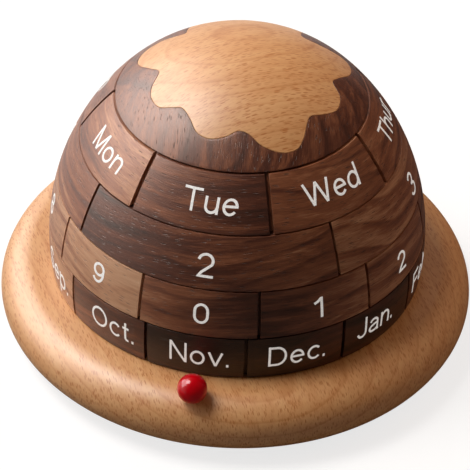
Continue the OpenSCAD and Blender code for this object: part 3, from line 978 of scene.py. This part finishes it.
class CALENDAR_OT_inlay(Operator):
    """Saw and turn the beech inlay with its wavy edge"""
    bl_idname = "calendar.inlay"
    bl_label = "Inlay"

    def execute(self, context):
        size = sizes()
        dome = Dome()
        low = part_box("crown_inlay")[0].z
        mouth = lobe_outline(size.crown_width / 2 - size.inlay_margin - size.glue_line)
        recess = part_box("crown_screw_washer")[1].x + size.recess
        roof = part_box("crown_screw")[1].z + size.recess
        rows = []
        for share in between(1 / (INLAY_STEPS + 1), 1, INLAY_STEPS):
            rows.append([(*(p * share), dome.height(p.length * share)) for p in mouth])
        rows.append([(*p, low) for p in mouth])
        rows += [[(*(p.normalized() * recess), z) for p in mouth] for z in (low, roof)]
        shape, edges = loft(rows)
        close_end(shape, edges[0], (0, 0, dome.apex))
        close_end(shape, edges[-1], (0, 0, roof))
        soften(shape, edges[INLAY_STEPS], size.inlay_edge)
        piece("lobed_inlay", shape, "base", beech("oiled_beech_inlay", INLAY_GRAIN),
              ["crown_inlay"])
        return {"FINISHED"}


class CALENDAR_OT_letters(Operator):
    """Print the months, dates and weekdays on the rings' tiles"""
    bl_idname = "calendar.letters"
    bl_label = "Letters"

    def execute(self, context):
        ink = letter_paint()
        for ring in RINGS:
            shape = bmesh.new()
            for k in range(len(ring.tiles)):
                self.print_label(shape, ring, k)
            piece(ring.node.replace("ring", "letters"), shape, ring.node, ink)
        return {"FINISHED"}

    def print_label(self, shape, ring, k):
        """Adds one label, laid round its ring, to the shape."""
        dome = Dome()
        tile = ring.tiles[k]
        middle = sum(corner.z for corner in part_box(ring.node)) / 2
        heading = POINTER + math.radians(ring.turn) + k * math.tau / len(ring.tiles)
        grid = ring.cap / CAPITAL
        glyphs = [GLYPHS[letter] for letter in tile.text]
        pen = -(sum(glyph[0] for glyph in glyphs) + GLYPH_GAP * (len(glyphs) - 1)) / 2
        for width, *strokes in glyphs:
            def lay(point, level):
                x = (point.x + pen) * grid * ring.spread + tile.right * MM
                y = (point.y - CAPITAL / 2) * grid + tile.up * MM
                return dome.wrap(x, y, middle, heading, level * sizes().paint)

            for stroke in strokes:
                path = trace(stroke, STROKE_STEP / grid)
                part = ribbon(path, sizes().stroke / 2 / grid, lay)
                mesh = bpy.data.meshes.new("stroke")
                part.to_mesh(mesh)
                part.free()
                shape.from_mesh(mesh)
                bpy.data.meshes.remove(mesh)
            pen += width + GLYPH_GAP


class CALENDAR_OT_fittings(Operator):
    """Finish the post, the glide washers, the screws and the pin"""
    bl_idname = "calendar.fittings"
    bl_label = "Fittings"

    def execute(self, context):
        refinish(beech("oiled_beech_post", POST_GRAIN), "post")
        refinish(nylon(), "washer_under_months", "washer_under_units", "washer_under_tens",
                 "washer_under_weekdays", "washer_under_crown")
        refinish(zinc_plate(), "base_screw", "base_screw_washer", "crown_screw",
                 "crown_screw_washer", "pointer_pin")
        return {"FINISHED"}


# ---------------------------------------------------------------- studio

class CALENDAR_OT_stage(Operator):
    """Set up the pale floor, the soft lamps and the view"""
    bl_idname = "calendar.stage"
    bl_label = "Studio"

    def execute(self, context):
        stage = context.scene.calendar_stage
        context.scene.view_settings.view_transform = "Standard"
        self.lay_floor(stage)
        self.light_sky(context.scene, stage)
        lamps = {name: self.hang_lamp(name, stage) for name in LAMPS}
        lamps["window_lamp"].visible_glossy = False
        lamps["window_pane"].visible_diffuse = False
        lamps["side_lamp"].visible_glossy = False
        lamps["side_lamp"].data.color = stage.warmth[:3]
        self.place_camera(context.scene, stage)
        return {"FINISHED"}

    def lay_floor(self, stage):
        """A plain pale floor that keeps the calendar's shadow. Seen directly, or in a
        gloss toward the window, it is lifted towards white. Elsewhere a gloss sees it
        dim, so that dark walnut doesn't turn grey."""
        shape = bmesh.new()
        bmesh.ops.create_circle(shape, cap_ends=True, segments=96, radius=FLOOR_RADIUS)
        mesh = bpy.data.meshes.new("floor")
        shape.to_mesh(mesh)
        shape.free()
        material, tree, shader = begin("matt_floor_paint")
        camera, gloss = self.rays(tree)
        place = add(tree, "ShaderNodeTexCoord").outputs["Object"]
        bright = add(tree, "ShaderNodeMapRange", {
            "Value": self.toward_window(tree, place, stage), "From Max": stage.floor_rise})
        shown = add(tree, "ShaderNodeMath", {0: gloss, 1: bright.outputs[0]},
                    operation="MULTIPLY")
        paint = add(tree, "ShaderNodeMix", {
            0: gloss, 6: stage.floor, 7: times(stage.floor, stage.floor_shade)},
            data_type="RGBA")
        seen = add(tree, "ShaderNodeMath", {0: camera, 1: shown.outputs[0]},
                   operation="MAXIMUM")
        lifted = add(tree, "ShaderNodeMath", {0: seen.outputs[0], 1: stage.lift},
                     operation="MULTIPLY")
        fill(tree, shader, {
            "Base Color": paint.outputs[2], "Roughness": 0.9, "Specular IOR Level": 0.0,
            "Emission Color": (1, 1, 1, 1), "Emission Strength": lifted.outputs[0]})
        mesh.materials.append(material)
        floor = bpy.data.objects.new("floor", mesh)
        bpy.context.scene.collection.objects.link(floor)

    def rays(self, tree):
        """Whether a place is seen straight on, and whether it is seen in a gloss or
        through something clear."""
        path = add(tree, "ShaderNodeLightPath").outputs
        gloss = add(tree, "ShaderNodeMath", {
            0: path["Is Glossy Ray"], 1: path["Is Transmission Ray"]}, operation="MAXIMUM")
        return path["Is Camera Ray"], gloss.outputs[0]

    def toward_window(self, tree, place, stage):
        """How far a place or a direction lies toward the window."""
        turn = stage.turn + stage.bright_side
        way = (math.sin(turn), -math.cos(turn), 0)
        return add(tree, "ShaderNodeVectorMath", {0: place, 1: way},
                   operation="DOT_PRODUCT").outputs["Value"]

    def light_sky(self, scene, stage):
        """White where it is seen, and a plain dim light for everything else. A gloss
        sees it white over the window, and dim on the room's side."""
        world = bpy.data.worlds.new("studio")
        world.use_nodes = True
        tree = world.node_tree
        camera, gloss = self.rays(tree)
        way = add(tree, "ShaderNodeTexCoord").outputs["Generated"]
        shown = add(tree, "ShaderNodeMapRange", {
            "Value": self.toward_window(tree, way, stage), "From Max": 0.9,
            "To Min": stage.shade}, interpolation_type="SMOOTHSTEP")
        lit = add(tree, "ShaderNodeMapRange", {
            "Value": gloss, "To Min": stage.sky, "To Max": shown.outputs[0]})
        strength = add(tree, "ShaderNodeMapRange", {"Value": camera, "To Min": lit.outputs[0]})
        seen = add(tree, "ShaderNodeMath", {0: camera, 1: gloss}, operation="MAXIMUM")
        hue = add(tree, "ShaderNodeMix", {
            0: seen.outputs[0], 6: stage.warmth, 7: (1, 1, 1, 1)}, data_type="RGBA")
        fill(tree, tree.nodes["Background"], {
            "Color": hue.outputs[2], "Strength": strength.outputs[0]})
        scene.world = world

    def hang_lamp(self, name, stage):
        """A soft box that faces the calendar. Its heading in degrees starts at the
        viewer and grows to the right, and its rise is its height over the horizon."""
        heading, rise, width, height = LAMPS[name]
        turn = stage.turn + math.radians(heading)
        level = Vector((math.sin(turn), -math.cos(turn), 0)) * math.cos(math.radians(rise))
        place = (level + Vector((0, 0, math.sin(math.radians(rise))))) * LAMP_DISTANCE
        data = bpy.data.lights.new(name, "AREA")
        data.shape = "RECTANGLE"
        data.size = width
        data.size_y = height
        data.energy = getattr(stage, name)
        lamp = bpy.data.objects.new(name, data)
        lamp.location = place + Vector((0, 0, LAMP_AIM))
        lamp.rotation_euler = place.to_track_quat("Z", "Y").to_euler()
        bpy.context.scene.collection.objects.link(lamp)
        return lamp

    def place_camera(self, scene, stage):
        """The view: a long lens, a little right of the pointer and well above."""
        right = Vector((math.cos(stage.turn), math.sin(stage.turn), 0))
        away = Vector((-math.sin(stage.turn), math.cos(stage.turn), 0))
        back = Vector((0, 0, math.sin(stage.rise))) - away * math.cos(stage.rise)
        up = back.cross(right)
        across = right * math.cos(stage.roll) + up * math.sin(stage.roll)
        upright = up * math.cos(stage.roll) - right * math.sin(stage.roll)
        target = Vector((0, 0, stage.target_height)) - right * stage.target_left
        data = bpy.data.cameras.new("view")
        data.sensor_fit = "HORIZONTAL"
        data.angle = stage.field
        camera = bpy.data.objects.new("view", data)
        turned = Matrix((across, upright, back)).transposed().to_4x4()
        camera.matrix_world = Matrix.Translation(target + back * stage.distance) @ turned
        scene.collection.objects.link(camera)
        scene.camera = camera


class CALENDAR_PT_sidebar(Panel):
    """Lists the calendar's settings and the steps that build it"""
    bl_label = "Perpetual desk calendar"
    bl_idname = "CALENDAR_PT_sidebar"
    bl_space_type = "VIEW_3D"
    bl_region_type = "UI"
    bl_category = "Calendar"

    def draw(self, context):
        for step in STEPS:
            self.layout.operator(step.bl_idname)
        for group in ("calendar_sizes", "calendar_colours", "calendar_stage"):
            settings = getattr(context.scene, group)
            box = self.layout.box()
            for name in settings.bl_rna.properties.keys():
                if name not in ("rna_type", "name"):
                    box.prop(settings, name)


STEPS = (CALENDAR_OT_base, CALENDAR_OT_pads, CALENDAR_OT_pointer, CALENDAR_OT_rings,
         CALENDAR_OT_crown, CALENDAR_OT_inlay, CALENDAR_OT_letters, CALENDAR_OT_fittings,
         CALENDAR_OT_stage)
CLASSES = (CalendarSizes, CalendarColours, StageSettings, *STEPS, CALENDAR_PT_sidebar)


def register():
    for each in CLASSES:
        bpy.utils.register_class(each)
    bpy.types.Scene.calendar_sizes = PointerProperty(type=CalendarSizes)
    bpy.types.Scene.calendar_colours = PointerProperty(type=CalendarColours)
    bpy.types.Scene.calendar_stage = PointerProperty(type=StageSettings)


def unregister():
    del bpy.types.Scene.calendar_stage
    del bpy.types.Scene.calendar_colours
    del bpy.types.Scene.calendar_sizes
    for each in reversed(CLASSES):
        bpy.utils.unregister_class(each)


def main():
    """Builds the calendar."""
    register()
    for step in STEPS:
        group, name = step.bl_idname.split(".")
        getattr(getattr(bpy.ops, group), name)()


if __name__ == "__main__":
    main()
